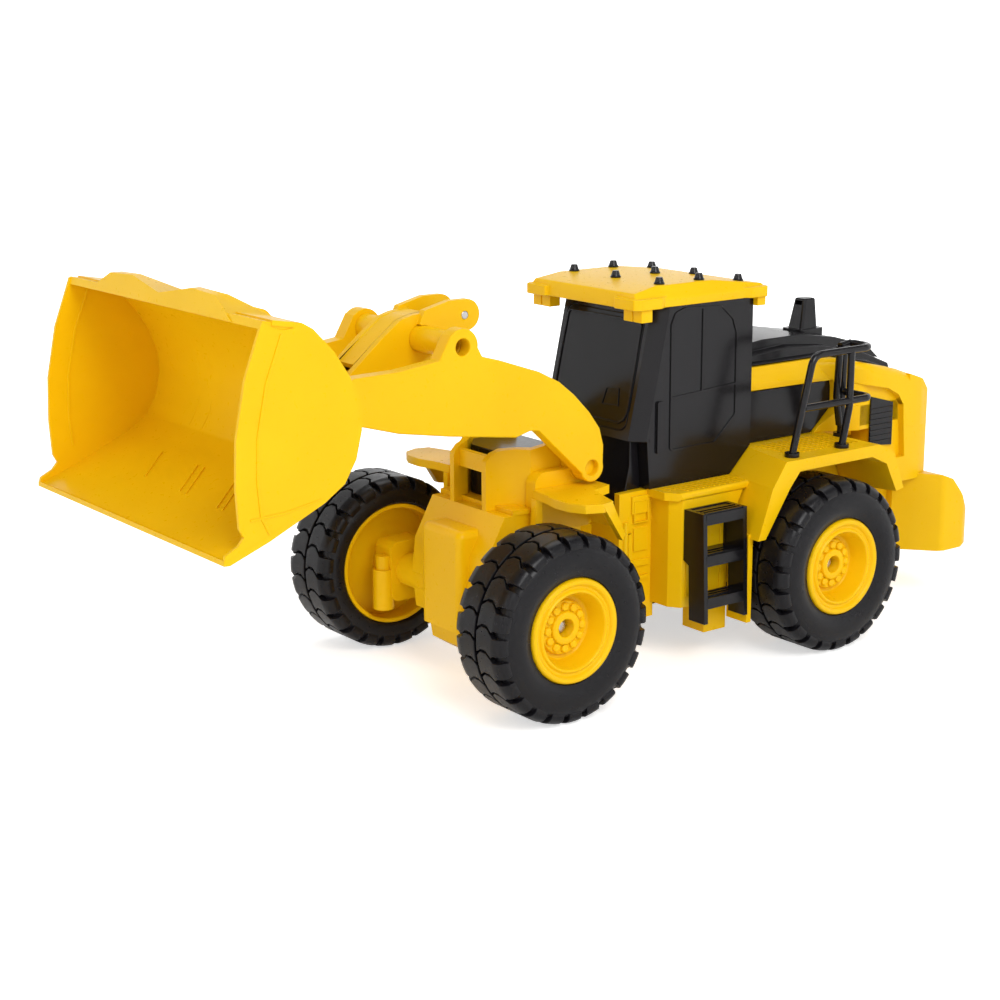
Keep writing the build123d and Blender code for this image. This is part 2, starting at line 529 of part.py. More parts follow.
def roof():
    """Cab roof: an edge band, a raised crown that falls to the rear, and a lobe at each corner."""
    def layer(x0, x1, half, z):
        return Pos((x0 + x1) / 2, 0, z) * Rectangle(x1 - x0, 2 * half)
    edge = box(-163.4, -76.4, -41.8, 41.8, ROOF_UNDERSIDE, 184.0)
    crown = loft([layer(-163.4, -76.4, 41.8, 184.0), layer(-161, -77.6, 37.0, ROOF_CROWN_Z)], ruled=True)
    lobes = []
    for x_end, x_in, x_deep in ((-74.3, -91, -99), (-164.5, -152, -146)):
        for side in (LEFT, RIGHT):
            points = [(x_end, side * 27), (x_end, side * 42), (x_end + (x_in - x_end) * 0.2, side * ROOF_HALF),
                      (x_in, side * ROOF_HALF), (x_deep, side * 39), (x_deep, side * 24)]
            lobes.append(slab_z(points, ROOF_UNDERSIDE, 185.6))
    side_view = slab_y([(-70, 178), (-70, 186), (-78, 188.2), (-92, ROOF_CROWN_Z), (-130, ROOF_CROWN_Z),
                        (-166, roof_height(-166)), (-166, 178)], -60, 60)
    return (edge + crown + lobes) & side_view


def roof_height(x):
    """Height of the crown at x: level in front, then falling to the rear."""
    return ROOF_CROWN_Z - max(0.0, -130 - x) * 0.12


ROOF_PEG_X = (-98.5, -125.0, -152.0)
ROOF_PEG_Y = (-33.0, 0.0, 33.0)
ROOF_CROWN_Z = 190.6


def roof_pegs():
    top = roof()
    pegs = []
    for x in ROOF_PEG_X:
        for y in ROOF_PEG_Y:
            foot = roof_height(x)
            pegs.append(rod_z(x, y, 2.7, foot - 1, foot + 0.9)
                        + Pos(x, y, foot + 2.2) * Cone(2.4, 1.6, 2.6) - top)
    return loose(*pegs)


def roof_lamps():
    """Under-hung lamps: a split pair at each front corner and a single one at each rear corner."""
    front = box(-86, -79.1, 29, 35.3, 174, ROOF_UNDERSIDE) + box(-86, -79.1, 36.3, 42.6, 174, ROOF_UNDERSIDE)
    front += box(-85.5, -80, 35, 36.6, 174.5, ROOF_UNDERSIDE)
    rear = box(-162.3, -156.7, 33, 43, 175.8, ROOF_UNDERSIDE)
    solids = []
    for side in (LEFT, RIGHT):
        solids += [on_side(front, side), on_side(rear, side)]
    return loose(*solids)


def rail():
    """Left guard rail on the mudguard: bent rods with a foot disc under each leg."""
    def bent(points, radius):
        path = FilletPolyline(*points, radius=radius) if radius else Polyline(*points)
        start = Plane(origin=path @ 0, z_dir=path % 0)
        return sweep(start * Circle(RAIL_R), path=path)
    out_y, in_y = RAIL_OUTER_Y, RAIL_INNER_Y
    foot_z = DECK_Z + 0.5
    main = bent([(-157.2, out_y, foot_z), (-170.5, out_y, RAIL_TOP_Z), (-214.3, out_y, RAIL_TOP_Z),
                 (-214.3, in_y, RAIL_TOP_Z), (-213.6, in_y, foot_z)], 7)
    brace = bent([(-193.3, out_y, foot_z), (-198, out_y, 123), (-198, out_y, RAIL_TOP_Z)], 12)
    mid = bent([(-164.5, out_y, RAIL_MID_Z), (-214.3, out_y, RAIL_MID_Z),
                (-214.3, in_y, RAIL_MID_Z)], 5)
    twin = bent([(-206.6, in_y + 4, RAIL_TOP_Z - 1), (-208.6, in_y + 1, 124), (-212.4, in_y, foot_z + 6)], 12)
    tie = bent([(-214.3, in_y + 4, RAIL_TOP_Z), (-206.6, in_y + 4, RAIL_TOP_Z - 1)], 0)
    feet = [rod_z(-157.2, out_y, 3.8, DECK_Z, DECK_Z + 2.2), rod_z(-193.3, out_y, 3.8, DECK_Z, DECK_Z + 2.2),
            rod_z(-213.6, in_y, 3.8, DECK_Z, DECK_Z + 2.2)]
    return main + brace + mid + twin + tie + feet


def ladder():
    """Left access ladder: two side plates that lean out a little, and three ribbed steps."""
    def plate(x0, x1):
        face = Plane.YZ * outline([(56, 81), (70, 81), (72.4, 25), (61, 25), (60, 53), (56, 55)])
        return Pos(x0, 0, 0) * extrude(face, x1 - x0, dir=(1, 0, 0))
    steps = []
    for z in (80.5, 59.5, 38.0):
        y1 = 70.2 + (81 - z) / 56 * 2.4
        tread = box(-124.5, -99, 56.5 if z > 55 else 61, y1, z - 5.5, z)
        ribs = [box(-124.5, -99, y, y + 1.1, z - 0.5, z + 0.7) for y in (62.5, 65.6, 68.4)]
        steps.append(tread + ribs)
    back = box(-126.5, -97, 56, 57.2, 75.5, 81)
    return plate(-99.5, -97) + plate(-126.5, -124) + steps + back


BELLY_SCREW_AT = [(x, y) for x in (-104, -140, -214, -274) for y in (-26, 26)]


def belly_plate():
    """Flat cover on the underside, with a countersunk seat for each screw."""
    plate = box(-284, -96, -33, 33, 26.5, 30)
    return plate - [rod_z(x, y, 3.2, 26, 28.6) for x, y in BELLY_SCREW_AT]


def belly_screws():
    return loose(*[rod_z(x, y, 3.0, 27.2, 28.6) for x, y in BELLY_SCREW_AT])


# ---- build ----
def save(name, shape):
    export_step(place(shape), f"parts/{name}.step")


def save_sides(name, shape):
    save(f"{name}_left", shape)
    save(f"{name}_right", mirror(shape, about=Plane.XZ))


def build():
    os.makedirs("parts", exist_ok=True)
    tyre_shape, rim_shape = tyre(), rim()
    for axle, x in (("front", 0.0), ("rear", -WHEELBASE)):
        at_axle = Pos(x, 0, TYRE_RADIUS)
        save_sides(f"tyre_{axle}", at_axle * tyre_shape)
        save_sides(f"rim_{axle}", at_axle * rim_shape)
        save(f"axle_rod_{axle}", Pos(x, 0, 0) * axle_rod())
        save(f"axle_casing_{axle}", Pos(x, 0, 0) * axle_casing())
        washer = at_axle * retainer()
        save(f"axle_retainers_{axle}", loose(washer, mirror(washer, about=Plane.XZ)))
    save("front_frame", front_frame())
    save("tower", tower())
    save("tower_core", core_block())
    save_sides("front_mudguard", mudguard())
    save_sides("lift_arm", arm_left())
    save("cross_tube", cross_tube())
    save("bucket_hinge_pins", bucket_hinge_pins())
    save("bellcrank", bellcrank())
    save("bellcrank_ear_pin", rod_y(*EAR_PIN, 2.0, -12.6, 12.6))
    save("link_foot_pin", rod_y(*LINK_FOOT, 2.0, -11.0, 11.0))
    save("tilt_link", tilt_link())
    save("link_top_pin", rod_y(*LINK_TOP, 2.0, -11.6, 11.6))
    save("bucket", bucket())
    save("rear_chassis", rear_chassis())
    save("hitch_pin", hitch_pin())
    save("rear_deck", rear_deck())
    save("hood_shell", hood_shell())
    save("hood_top", hood_top())
    save("exhaust_stack", exhaust_stack())
    save_sides("side_panel", side_panel())
    save_sides("grille", grille())
    save("counterweight", counterweight())
    save("cab_shell", cab_shell())
    save("windshield", windshield())
    save("cab_base", cab_base())
    save("roof", roof())
    save("roof_pegs", roof_pegs())
    save("roof_lamps", roof_lamps())
    save_sides("guard_rail", rail())
    save_sides("ladder", ladder())
    save("belly_plate", belly_plate())
    save("belly_screws", belly_screws())


build()
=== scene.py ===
import json
import math

import bmesh
import bpy
from mathutils import Matrix, Vector


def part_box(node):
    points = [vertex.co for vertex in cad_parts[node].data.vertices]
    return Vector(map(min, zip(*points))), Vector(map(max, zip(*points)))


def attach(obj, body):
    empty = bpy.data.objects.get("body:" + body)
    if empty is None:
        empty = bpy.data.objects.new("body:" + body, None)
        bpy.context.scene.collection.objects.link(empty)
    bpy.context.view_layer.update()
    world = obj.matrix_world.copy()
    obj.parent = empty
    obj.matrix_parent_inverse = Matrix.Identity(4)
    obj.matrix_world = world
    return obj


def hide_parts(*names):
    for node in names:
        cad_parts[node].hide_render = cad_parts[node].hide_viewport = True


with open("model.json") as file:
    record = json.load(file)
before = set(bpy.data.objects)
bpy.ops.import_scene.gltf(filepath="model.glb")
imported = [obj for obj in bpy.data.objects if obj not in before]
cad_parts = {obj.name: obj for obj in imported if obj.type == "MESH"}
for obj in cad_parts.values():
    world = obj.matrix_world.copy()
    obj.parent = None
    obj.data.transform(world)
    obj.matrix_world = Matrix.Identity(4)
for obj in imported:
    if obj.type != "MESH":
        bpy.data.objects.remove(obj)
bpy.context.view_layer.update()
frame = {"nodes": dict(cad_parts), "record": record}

MM = 0.001
NODES = frame["nodes"]
FRONT_AXLE_X = sum(c.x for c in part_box("axle_rod_front")) / 2

# ---- materials ----
GRAIN_DEPTH = 0.04 * MM


def new_material(name, colour, roughness):
    """Principled material with its constants on the sockets; returns the node tree and shader."""
    mat = bpy.data.materials.new(name)
    mat.use_nodes = True
    tree = mat.node_tree
    shader = tree.nodes["Principled BSDF"]
    shader.inputs["Base Color"].default_value = (*colour, 1)
    shader.inputs["Roughness"].default_value = roughness
    return mat, tree, shader


def noise(tree, scale, detail=3.0, roughness=0.5):
    """Noise in the object's own space, so it stays put when the object moves."""
    coords = tree.nodes.new("ShaderNodeTexCoord")
    node = tree.nodes.new("ShaderNodeTexNoise")
    node.inputs["Scale"].default_value = scale
    node.inputs["Detail"].default_value = detail
    node.inputs["Roughness"].default_value = roughness
    tree.links.new(coords.outputs["Object"], node.inputs["Vector"])
    return node


def remap(tree, source, low, high, start=0.3, stop=0.7):
    node = tree.nodes.new("ShaderNodeMapRange")
    node.inputs["From Min"].default_value = start
    node.inputs["From Max"].default_value = stop
    node.inputs["To Min"].default_value = low
    node.inputs["To Max"].default_value = high
    tree.links.new(source, node.inputs["Value"])
    return node.outputs["Result"]


def vary_colour(tree, shader, source, dark, light):
    mix = tree.nodes.new("ShaderNodeMix")
    mix.data_type = "RGBA"
    mix.inputs["A"].default_value = (*dark, 1)
    mix.inputs["B"].default_value = (*light, 1)
    tree.links.new(source, mix.inputs["Factor"])
    tree.links.new(mix.outputs["Result"], shader.inputs["Base Color"])


def add_bump(tree, shader, source, strength, distance):
    bump = tree.nodes.new("ShaderNodeBump")
    bump.inputs["Strength"].default_value = strength
    bump.inputs["Distance"].default_value = distance
    tree.links.new(source, bump.inputs["Height"])
    tree.links.new(bump.outputs["Normal"], shader.inputs["Normal"])


def moulded(name, dark, light, rough, grain, bump):
    """Injection-moulded plastic: faint flow mottling, uneven gloss and a fine surface texture."""
    mat, tree, shader = new_material(name, light, sum(rough) / 2)
    flow = noise(tree, 22.0, 4.0)
    vary_colour(tree, shader, remap(tree, flow.outputs["Fac"], 0, 1), dark, light)
    fine = noise(tree, grain, 5.0, 0.6)
    tree.links.new(remap(tree, fine.outputs["Fac"], *rough), shader.inputs["Roughness"])
    add_bump(tree, shader, fine.outputs["Fac"], bump, GRAIN_DEPTH)
    return mat, shader


def yellow_plastic():
    mat, shader = moulded("machine_yellow", (0.83, 0.485, 0.002), (0.87, 0.52, 0.003),
                         (0.26, 0.36), 420.0, 0.08)
    shader.inputs["Specular IOR Level"].default_value = 0.16
    shader.inputs["Subsurface Weight"].default_value = 0.06
    shader.inputs["Subsurface Radius"].default_value = (0.003, 0.0012, 0.0001)
    shader.inputs["Subsurface Scale"].default_value = 1.0
    return mat


def dark_plastic():
    mat, shader = moulded("dark_plastic", (0.0035, 0.0030, 0.0042), (0.0065, 0.0058, 0.0072),
                         (0.17, 0.23), 420.0, 0.05)
    shader.inputs["Specular IOR Level"].default_value = 0.34
    return mat


def glazing_black():
    mat, shader = moulded("glazing_black", (0.0035, 0.0032, 0.0042), (0.0060, 0.0055, 0.0068),
                         (0.13, 0.18), 300.0, 0.02)
    shader.inputs["Specular IOR Level"].default_value = 0.26
    return mat


def tyre_rubber():
    mat, shader = moulded("tyre_rubber", (0.0045, 0.0042, 0.0055), (0.0080, 0.0074, 0.0092),
                         (0.26, 0.38), 700.0, 0.12)
    shader.inputs["Specular IOR Level"].default_value = 0.26
    return mat


def steel():
    mat, shader = moulded("steel", (0.50, 0.50, 0.51), (0.62, 0.62, 0.63),
                         (0.22, 0.36), 900.0, 0.08)
    shader.inputs["Metallic"].default_value = 1.0
    return mat


MATERIALS = {
    "machine_yellow": yellow_plastic(),
    "dark_plastic": dark_plastic(),
    "glazing_black": glazing_black(),
    "steel": steel(),
    "tyre_rubber": tyre_rubber(),
}
SLOT_OF = {part["node"]: part["material_slot"] for part in frame["record"]["subparts"]}


# angles in degrees
FLAT_WITHIN = 0.6
SHARP_EDGE = 32
BEVEL_STEPS = 2


def set_material(obj, name):
    obj.data.materials.clear()
    obj.data.materials.append(MATERIALS[name])


def soften(obj, width):
    """Rounds a CAD node's moulded edges for the light without touching its own mesh."""
    if "custom_normal" in obj.data.attributes:
        obj.data.attributes.remove(obj.data.attributes["custom_normal"])
    weld = obj.modifiers.new("weld", "WELD")
    weld.merge_threshold = 0.001 * MM
    if obj.name != "bucket":
        flat = obj.modifiers.new("flat_faces", "DECIMATE")
        flat.decimate_type = "DISSOLVE"
        flat.angle_limit = math.radians(FLAT_WITHIN)
    bevel = obj.modifiers.new("edge_round", "BEVEL")
    bevel.width = width
    bevel.segments = BEVEL_STEPS
    bevel.limit_method = "ANGLE"
    bevel.angle_limit = math.radians(SHARP_EDGE)
    normals = obj.modifiers.new("normals", "WEIGHTED_NORMAL")
    normals.keep_sharp = True


# widths of the rounded edges in millimetres; a node that isn't named gets the plain width
PLAIN_EDGE = 0.45
EDGE_WIDTH = {"front_frame": 1.2, "tower": 0.9, "counterweight": 2.2, "roof": 1.0, "hood_shell": 1.2,
              "hood_top": 0.8, "rear_chassis": 0.9, "rear_deck": 0.9, "axle_casing_front": 1.0,
              "axle_casing_rear": 1.0, "front_mudguard_left": 1.1, "front_mudguard_right": 1.1,
              "lift_arm_left": 0.8, "lift_arm_right": 0.8, "roof_lamps": 0.9, "bellcrank": 0.7,
              "tilt_link": 1.0, "cab_shell": 0.7, "cab_base": 0.8}

for name, node in NODES.items():
    set_material(node, SLOT_OF[name])
    for polygon in node.data.polygons:
        polygon.use_smooth = True
    if not name.startswith(("axle_ret", "belly_screws", "tyre_", "rim_")):
        soften(node, EDGE_WIDTH.get(name, PLAIN_EDGE) * MM)

# ---- wheels: moulded tyre and rim in place of the plain CAD ones ----
TYRE_R = 45.0
LUGS = 24
BOLTS = 12
TREAD_MIDDLE = 73.0
LUG_ROOT = 3.2                 # how far a lug reaches below its top
LUG_FLOOR_R = 44.0             # lug roots inside the tread start from this radius
SHOULDER_ROOT = 1.4            # and lean this far in on the shoulder
# sections of the left wheels as (radius, y) points in millimetres
TYRE_SECTION = [
    (25.2, 85), (25.2, 88.6), (25.7, 89.3), (27.0, 89.6), (28.6, 90.5), (31.0, 91.2),
    (34.0, 91.4), (37.0, 91.0), (39.4, 90.1), (41.0, 88.6), (41.9, 86.4), (42.2, 83),
    (42.2, 63), (41.9, 59.8), (40.6, 57.2), (38.0, 55.6), (35.0, 55.0), (32.6, 55.2),
    (31.6, 56.2), (31.6, 85)]
RIM_SECTION = [
    (25.1, 85), (25.1, 88.9), (24.6, 90.1), (23.7, 90.6), (22.7, 90.5), (22.0, 89.8),
    (21.4, 88.7), (20.1, 88.6), (19.7, 89.4), (19.0, 89.9), (18.3, 89.6), (17.8, 88.6),
    (15.8, 80.6), (15.0, 79.5), (13.2, 79.3), (12.9, 81.0), (12.4, 81.5), (8.1, 81.5),
    (7.9, 82.8), (7.3, 83.5), (4.9, 83.5), (4.2, 82.9), (4.0, 77.0), (2.6, 77.0),
    (2.6, 59.5), (7.5, 59.5), (7.5, 67.0), (29.0, 67.0), (29.0, 56.8), (29.6, 56.2),
    (31.2, 56.2), (31.5, 56.8), (31.5, 84.0), (26.0, 84.0)]
# along one lug from its shoulder towards the middle: radius, y, left edge and right edge
LUG_STATIONS = [
    (39.6, 90.5, -4.0, 4.0), (41.6, 90.5, -4.1, 4.1), (43.3, 89.4, -4.2, 4.2),
    (44.4, 87.6, -4.2, 4.2), (45.0, 85.4, -4.2, 4.2), (45.0, 84.2, -5.3, 5.3),
    (45.0, 80.6, -2.6, 8.0), (45.0, 76.8, -2.6, 8.0), (45.0, 73.8, -4.6, 5.6)]


def polar(radius, y, angle):
    return Vector((radius * math.cos(angle), y, radius * math.sin(angle))) * MM


def turned(section, steps):
    """Closed ring of quads: the section goes round the wheel's axis."""
    verts = [polar(r, y, 2 * math.pi * n / steps) for n in range(steps) for r, y in section]
    size = len(section)
    faces = []
    for n in range(steps):
        here, there = n * size, (n + 1) % steps * size
        for k in range(size):
            j = (k + 1) % size
            faces.append((here + k, here + j, there + j, there + k))
    return verts, faces


def lug(angle, inward):
    """One tread block as a bent bar; inward ones start at the other shoulder, half a pitch on."""
    verts, faces, columns = [], [], 4
    lean = SHOULDER_ROOT if inward else -SHOULDER_ROOT
    for radius, y, left, right in LUG_STATIONS:
        if inward:
            y = 2 * TREAD_MIDDLE - y
        top = [angle + (left + (right - left) * c / (columns - 1)) / TYRE_R for c in range(columns)]
        verts += [polar(radius, y, a) for a in top]
        root_y = y + lean if radius < LUG_FLOOR_R else y
        verts += [polar(min(radius, LUG_FLOOR_R) - LUG_ROOT, root_y, a) for a in top]
    ring = 2 * columns
    loop = list(range(columns)) + list(range(ring - 1, columns - 1, -1))
    for n in range(len(LUG_STATIONS) - 1):
        for k in range(ring):
            a, b = loop[k], loop[(k + 1) % ring]
            faces.append((n * ring + a, n * ring + b, (n + 1) * ring + b, (n + 1) * ring + a))
    last = (len(LUG_STATIONS) - 1) * ring
    for c in range(columns - 1):
        faces.append((c, columns + c, columns + c + 1, c + 1))
        faces.append((last + c, last + c + 1, last + columns + c + 1, last + columns + c))
    return verts, faces


def bolt(angle, circle=10.1, radius=2.05, foot=81.0, top=82.9):
    """Round bolt head on the rim's disc, with a softened top edge."""
    centre = polar(circle, 0, angle)
    verts, faces, steps = [], [], 16
    rings = [(radius, foot), (radius, top - 0.7), (radius - 0.25, top - 0.25), (radius - 0.8, top)]
    for r, y in rings:
        verts += [centre + polar(r, y, 2 * math.pi * n / steps) for n in range(steps)]
    for k in range(len(rings) - 1):
        for n in range(steps):
            m = (n + 1) % steps
            faces.append((k * steps + n, k * steps + m, (k + 1) * steps + m, (k + 1) * steps + n))
    faces.append(tuple(range(steps)))
    faces.append(tuple(range(len(verts) - 1, len(verts) - 1 - steps, -1)))
    return verts, faces


def join(parts):
    verts, faces = [], []
    for part_verts, part_faces in parts:
        start = len(verts)
        verts += part_verts
        faces += [tuple(start + i for i in face) for face in part_faces]
    return verts, faces


def solid_piece(name, verts, faces, material):
    """Smooth-shaded object with outward normals, from points in the row frame."""
    mesh = bpy.data.meshes.new(name)
    mesh.from_pydata(verts, [], faces)
    shape = bmesh.new()
    shape.from_mesh(mesh)
    bmesh.ops.recalc_face_normals(shape, faces=shape.faces)
    shape.to_mesh(mesh)
    shape.free()
    for polygon in mesh.polygons:
        polygon.use_smooth = True
    obj = bpy.data.objects.new(name, mesh)
    bpy.context.scene.collection.objects.link(obj)
    set_material(obj, material)
    return obj


def on_axle(name, geometry, centre, side, material):
    """Places wheel geometry on its axle; the right-hand side is the mirror of the left."""
    verts, faces = geometry
    placed = [Vector((v.x, v.y * side, v.z)) + centre for v in verts]
    return solid_piece(name, placed, faces, material)


def bevelled(obj, width, angle):
    bevel = obj.modifiers.new("edge_round", "BEVEL")
    bevel.width = width * MM
    bevel.segments = BEVEL_STEPS
    bevel.limit_method = "ANGLE"
    bevel.angle_limit = math.radians(angle)
    normals = obj.modifiers.new("normals", "WEIGHTED_NORMAL")
    normals.keep_sharp = True


def wheels():
    pitch = 2 * math.pi / LUGS
    tread = [lug(n * pitch, False) for n in range(LUGS)]
    tread += [lug((n + 0.5) * pitch, True) for n in range(LUGS)]
    tyre_shape = join([turned(TYRE_SECTION, 144)] + tread)
    bolts = [bolt(2 * math.pi * n / BOLTS) for n in range(BOLTS)]
    rim_shape = join([turned(RIM_SECTION, 120)] + bolts)
    for axle in ("front", "rear"):
        low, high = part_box(f"axle_rod_{axle}")
        centre = Vector(((low.x + high.x) / 2, 0, TYRE_R * MM))
        for side_name, side in (("left", 1), ("right", -1)):
            where = f"{axle}_{side_name}"
            tyre = on_axle(f"tyre_moulded_{where}", tyre_shape, centre, side, "tyre_rubber")
            bevelled(tyre, 0.35, 40)
            rim = on_axle(f"rim_moulded_{where}", rim_shape, centre, side, "machine_yellow")
            bevelled(rim, 0.2, 50)
            for obj, node, slot in ((tyre, f"tyre_{where}", "tyre_rubber"),
                                    (rim, f"rim_{where}", "machine_yellow")):
                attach(obj, f"wheel_{where}")
                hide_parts(node)


wheels()

# ---- moulded surface detail, as thin pieces laid on the CAD faces ----
SIDES = (("left", 1), ("right", -1))
STRIP_ROOT = 0.3               # how far a strip reaches into the face under it


def at(x, y, z):
    """A point given from the front axle line in millimetres, in the row frame."""
    return Vector((FRONT_AXLE_X + x * MM, y * MM, z * MM))


def detail(obj, width, angle, body, slot):
    """Rounds a detail piece's edges and fixes it to its body."""
    bevelled(obj, width, angle)
    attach(obj, body)


def strip(name, line, half_width, normal, lift, body, material, width=0.12):
    """Raised line of constant width along points; normal is the face's outward direction."""
    normal = Vector(normal).normalized()
    closed = (line[0] - line[-1]).length < 1e-6
    points = line[:-1] if closed else line
    count = len(points)
    verts, faces = [], []
    for n, point in enumerate(points):
        before = points[n - 1] if closed or n > 0 else point
        after = points[(n + 1) % count] if closed or n < count - 1 else point
        across = normal.cross((after - before).normalized()).normalized() * half_width * MM
        low, high = point - normal * STRIP_ROOT * MM, point + normal * lift * MM
        verts += [low + across, low - across, high - across, high + across]
    for n in range(count if closed else count - 1):
        here, there = 4 * n, 4 * ((n + 1) % count)
        faces += [(here + k, here + (k + 1) % 4, there + (k + 1) % 4, there + k) for k in range(4)]
    if not closed:
        faces += [(0, 1, 2, 3), tuple(range(4 * count - 1, 4 * count - 5, -1))]
    detail(solid_piece(name, verts, faces, material), width, 30, body, material)


def bucket_details():
    """Crease behind the front edge of each side plate, and the lines on the floor."""
    outside, inside = 87.7, 86.1
    front_edge = [(149.5, 197.0), (157.2, 178), (161.8, 157), (162.6, 138), (161.4, 124),
                  (157.8, 116.6)]
    low_line = [(133, 127.0), (150, 124.2), (166.5, 123.4)]
    for tag, side in SIDES:
        outer = [at(x, side * outside, z) for x, z in front_edge]
        strip(f"bucket_crease_out_{tag}", outer, 0.55, (0, side, 0), 0.5, "bucket", "machine_yellow")
        inner = [at(x, side * inside, z) for x, z in front_edge[:-1]]
        strip(f"bucket_crease_in_{tag}", inner, 0.55, (0, -side, 0), 0.4, "bucket", "machine_yellow")
        foot = [at(x, side * outside, z) for x, z in low_line]
        strip(f"bucket_foot_line_{tag}", foot, 0.45, (0, side, 0), 0.4, "bucket", "machine_yellow")

    (front_x, front_z), (back_x, back_z) = (158.0, 115.8), (132.0, 127.8)
    slope = Vector((front_x - back_x, 0, front_z - back_z)).normalized()
    up = Vector((-slope.z, 0, slope.x))

    def on_floor(x, y):
        share = (x - back_x) / (front_x - back_x)
        return at(x, y, back_z + share * (front_z - back_z))

    floor_lines = [(155, 44, 136, 30), (155, 39, 140, 28), (154, 10, 138, -2), (154, 4, 138, -8),
                   (153, -30, 138, -42)]
    for number, (x0, y0, x1, y1) in enumerate(floor_lines):
        strip(f"bucket_floor_line_{number}", [on_floor(x0, y0), on_floor(x1, y1)], 0.4, up, 0.4,
              "bucket", "machine_yellow")


def cab_details():
    """Bead round the windshield, the small catch drawn on it and the sills beside it."""
    fall_back, foot_x, foot_z, glass_proud = 0.22, -79.5, 115, 0.2
    lean = math.atan(fall_back)
    normal = Vector((math.cos(lean), 0, math.sin(lean)))

    def on_glass(outline):
        return [at(foot_x - fall_back * (z - foot_z), y, z) + normal * glass_proud * MM
                for y, z in outline]

    bead = on_glass([(-27, 172), (27, 172), (28.6, 170), (29.2, 150), (29.2, 128), (27.4, 123.6),
                     (23.6, 121.6), (-23.6, 121.6), (-27.4, 123.6), (-29.2, 128), (-29.2, 150),
                     (-28.6, 170), (-27, 172)])
    strip("windshield_bead", bead, 0.6, normal, 0.7, "rear_unit", "glazing_black", 0.25)
    catch = on_glass([(11, 137.4), (20, 138), (21.8, 129.8), (9.5, 129.2), (11, 137.4)])
    strip("windshield_catch", catch, 0.4, normal, 0.5, "rear_unit", "glazing_black", 0.15)
    for tag, side in SIDES:
        sill = [at(-81.5, side * 33.4, 114.2), at(-88, side * 39.9, 114.2)]
        strip(f"cab_sill_{tag}", sill, 0.7, (0.7, side * 0.7, 0), 0.9, "rear_unit",
              "dark_plastic", 0.25)


def hood_shoulders():
    """Rounded shoulders over the radiator: they flare from the bevel and arch over the grilles."""
    clear_of_face, side_panel_end, side_panel_top, wall_foot = 0.15, -222, 129.8, 104.0
    # x, half width of the hood there, height of its top, height of the recess's upper edge
    stations = [
        (-213, 31.5, 141.0, 130.0), (-220, 37.5, 141.0, 129.8), (-226, 43.0, 140.2, 128.6),
        (-232, 47.0, 138.9, 127.2), (-238, 50.0, 137.6, 126.0), (-250, 50.0, 134.9, 123.4),
        (-258.5, 50.0, 132.7, 119.0), (-262.6, 50.0, 131.3, 113.0), (-266, 50.0, 130.1, 100.0),
        (-272, 50.0, 128.0, 100.0), (-277, 49.6, 126.3, 100.0), (-282, 48.0, 122.2, 100.0)]
    for tag, side in SIDES:
        for kind, inner, limit in (("wall", 27.0, 46.0), ("arch", 44.0, 60.0)):
            verts, faces = [], []
            for x, half, top, recess in stations:
                outer = min(half, limit)
                inside = min(inner, outer - 1)
                crown = top + clear_of_face
                if kind == "arch":
                    foot, face_y, drop, edge_in, edge_drop = recess, outer + 0.1, 4.5, 1.2, 1.8
                else:
                    foot = min(recess, side_panel_top if x > side_panel_end else wall_foot)
                    face_y, drop, edge_in, edge_drop = outer, 5.5, 1.0, 2.5
                ring = [(inside, foot), (face_y, foot), (face_y, crown - drop),
                        (outer - edge_in, crown - edge_drop), (outer - 4.0, crown), (inside, crown)]
                verts += [at(x, side * y, z) for y, z in ring]
            count = 6
            for n in range(len(stations) - 1):
                for k in range(count):
                    j = (k + 1) % count
                    faces.append((n * count + k, n * count + j,
                                  (n + 1) * count + j, (n + 1) * count + k))
            faces.append(tuple(range(count)))
            faces.append(tuple(range(len(verts) - 1, len(verts) - 1 - count, -1)))
            obj = solid_piece(f"hood_{kind}_{tag}", verts, faces, "machine_yellow")
            detail(obj, 0.8, 35, "rear_unit", "machine_yellow")


def deck_details():
    """Anti-slip ribs on the side platforms and on the mudguards."""
    platform_z, fender_z = 89.5, 102
    for tag, side in SIDES:
        for number in range(14):
            x = -92.5 - number * 3.6
            outer = 54.2 if x < -97 else 49.0
            rib = [at(x, side * 41.2, platform_z), at(x - 1.4, side * outer, platform_z)]
            strip(f"platform_rib_{tag}_{number}", rib, 0.5, (0, 0, 1), 0.35, "rear_unit",
                  "machine_yellow")
        for number in range(13):
            x = -160.5 - number * 4.0
            rib = [at(x, side * 40.5, fender_z), at(x - 1.6, side * 66.0, fender_z)]
            strip(f"fender_rib_{tag}_{number}", rib, 0.5, (0, 0, 1), 0.35, "rear_unit",
                  "machine_yellow")


def chassis_details():
    """Moulded pipes and covers on the sides of the front block and of the tank."""
    block_y, tank_y = 37, 56
    # name, |y| of the face, (x, z) line, half width, height, rounding
    lines = [
        ("chassis_pipe", block_y, [(-74.0, 66), (-77.5, 68), (-77.5, 47), (-83, 44), (-90, 44)],
         1.1, 1.2, 0.5),
        ("chassis_cover", block_y, [(-80, 84), (-89, 84), (-89, 73), (-80, 73), (-80, 84)],
         0.5, 1.6, 0.2),
        ("tank_cover", tank_y, [(-99, 80), (-122, 80), (-122, 36), (-99, 36), (-99, 80)],
         0.5, 0.6, 0.2)]
    for tag, side in SIDES:
        for name, y, line, half_width, lift, width in lines:
            strip(f"{name}_{tag}", [at(x, side * y, z) for x, z in line], half_width, (0, side, 0),
                  lift, "rear_unit", "machine_yellow", width)


bucket_details()
hood_shoulders()
cab_details()
deck_details()
chassis_details()

# ---- studio ----


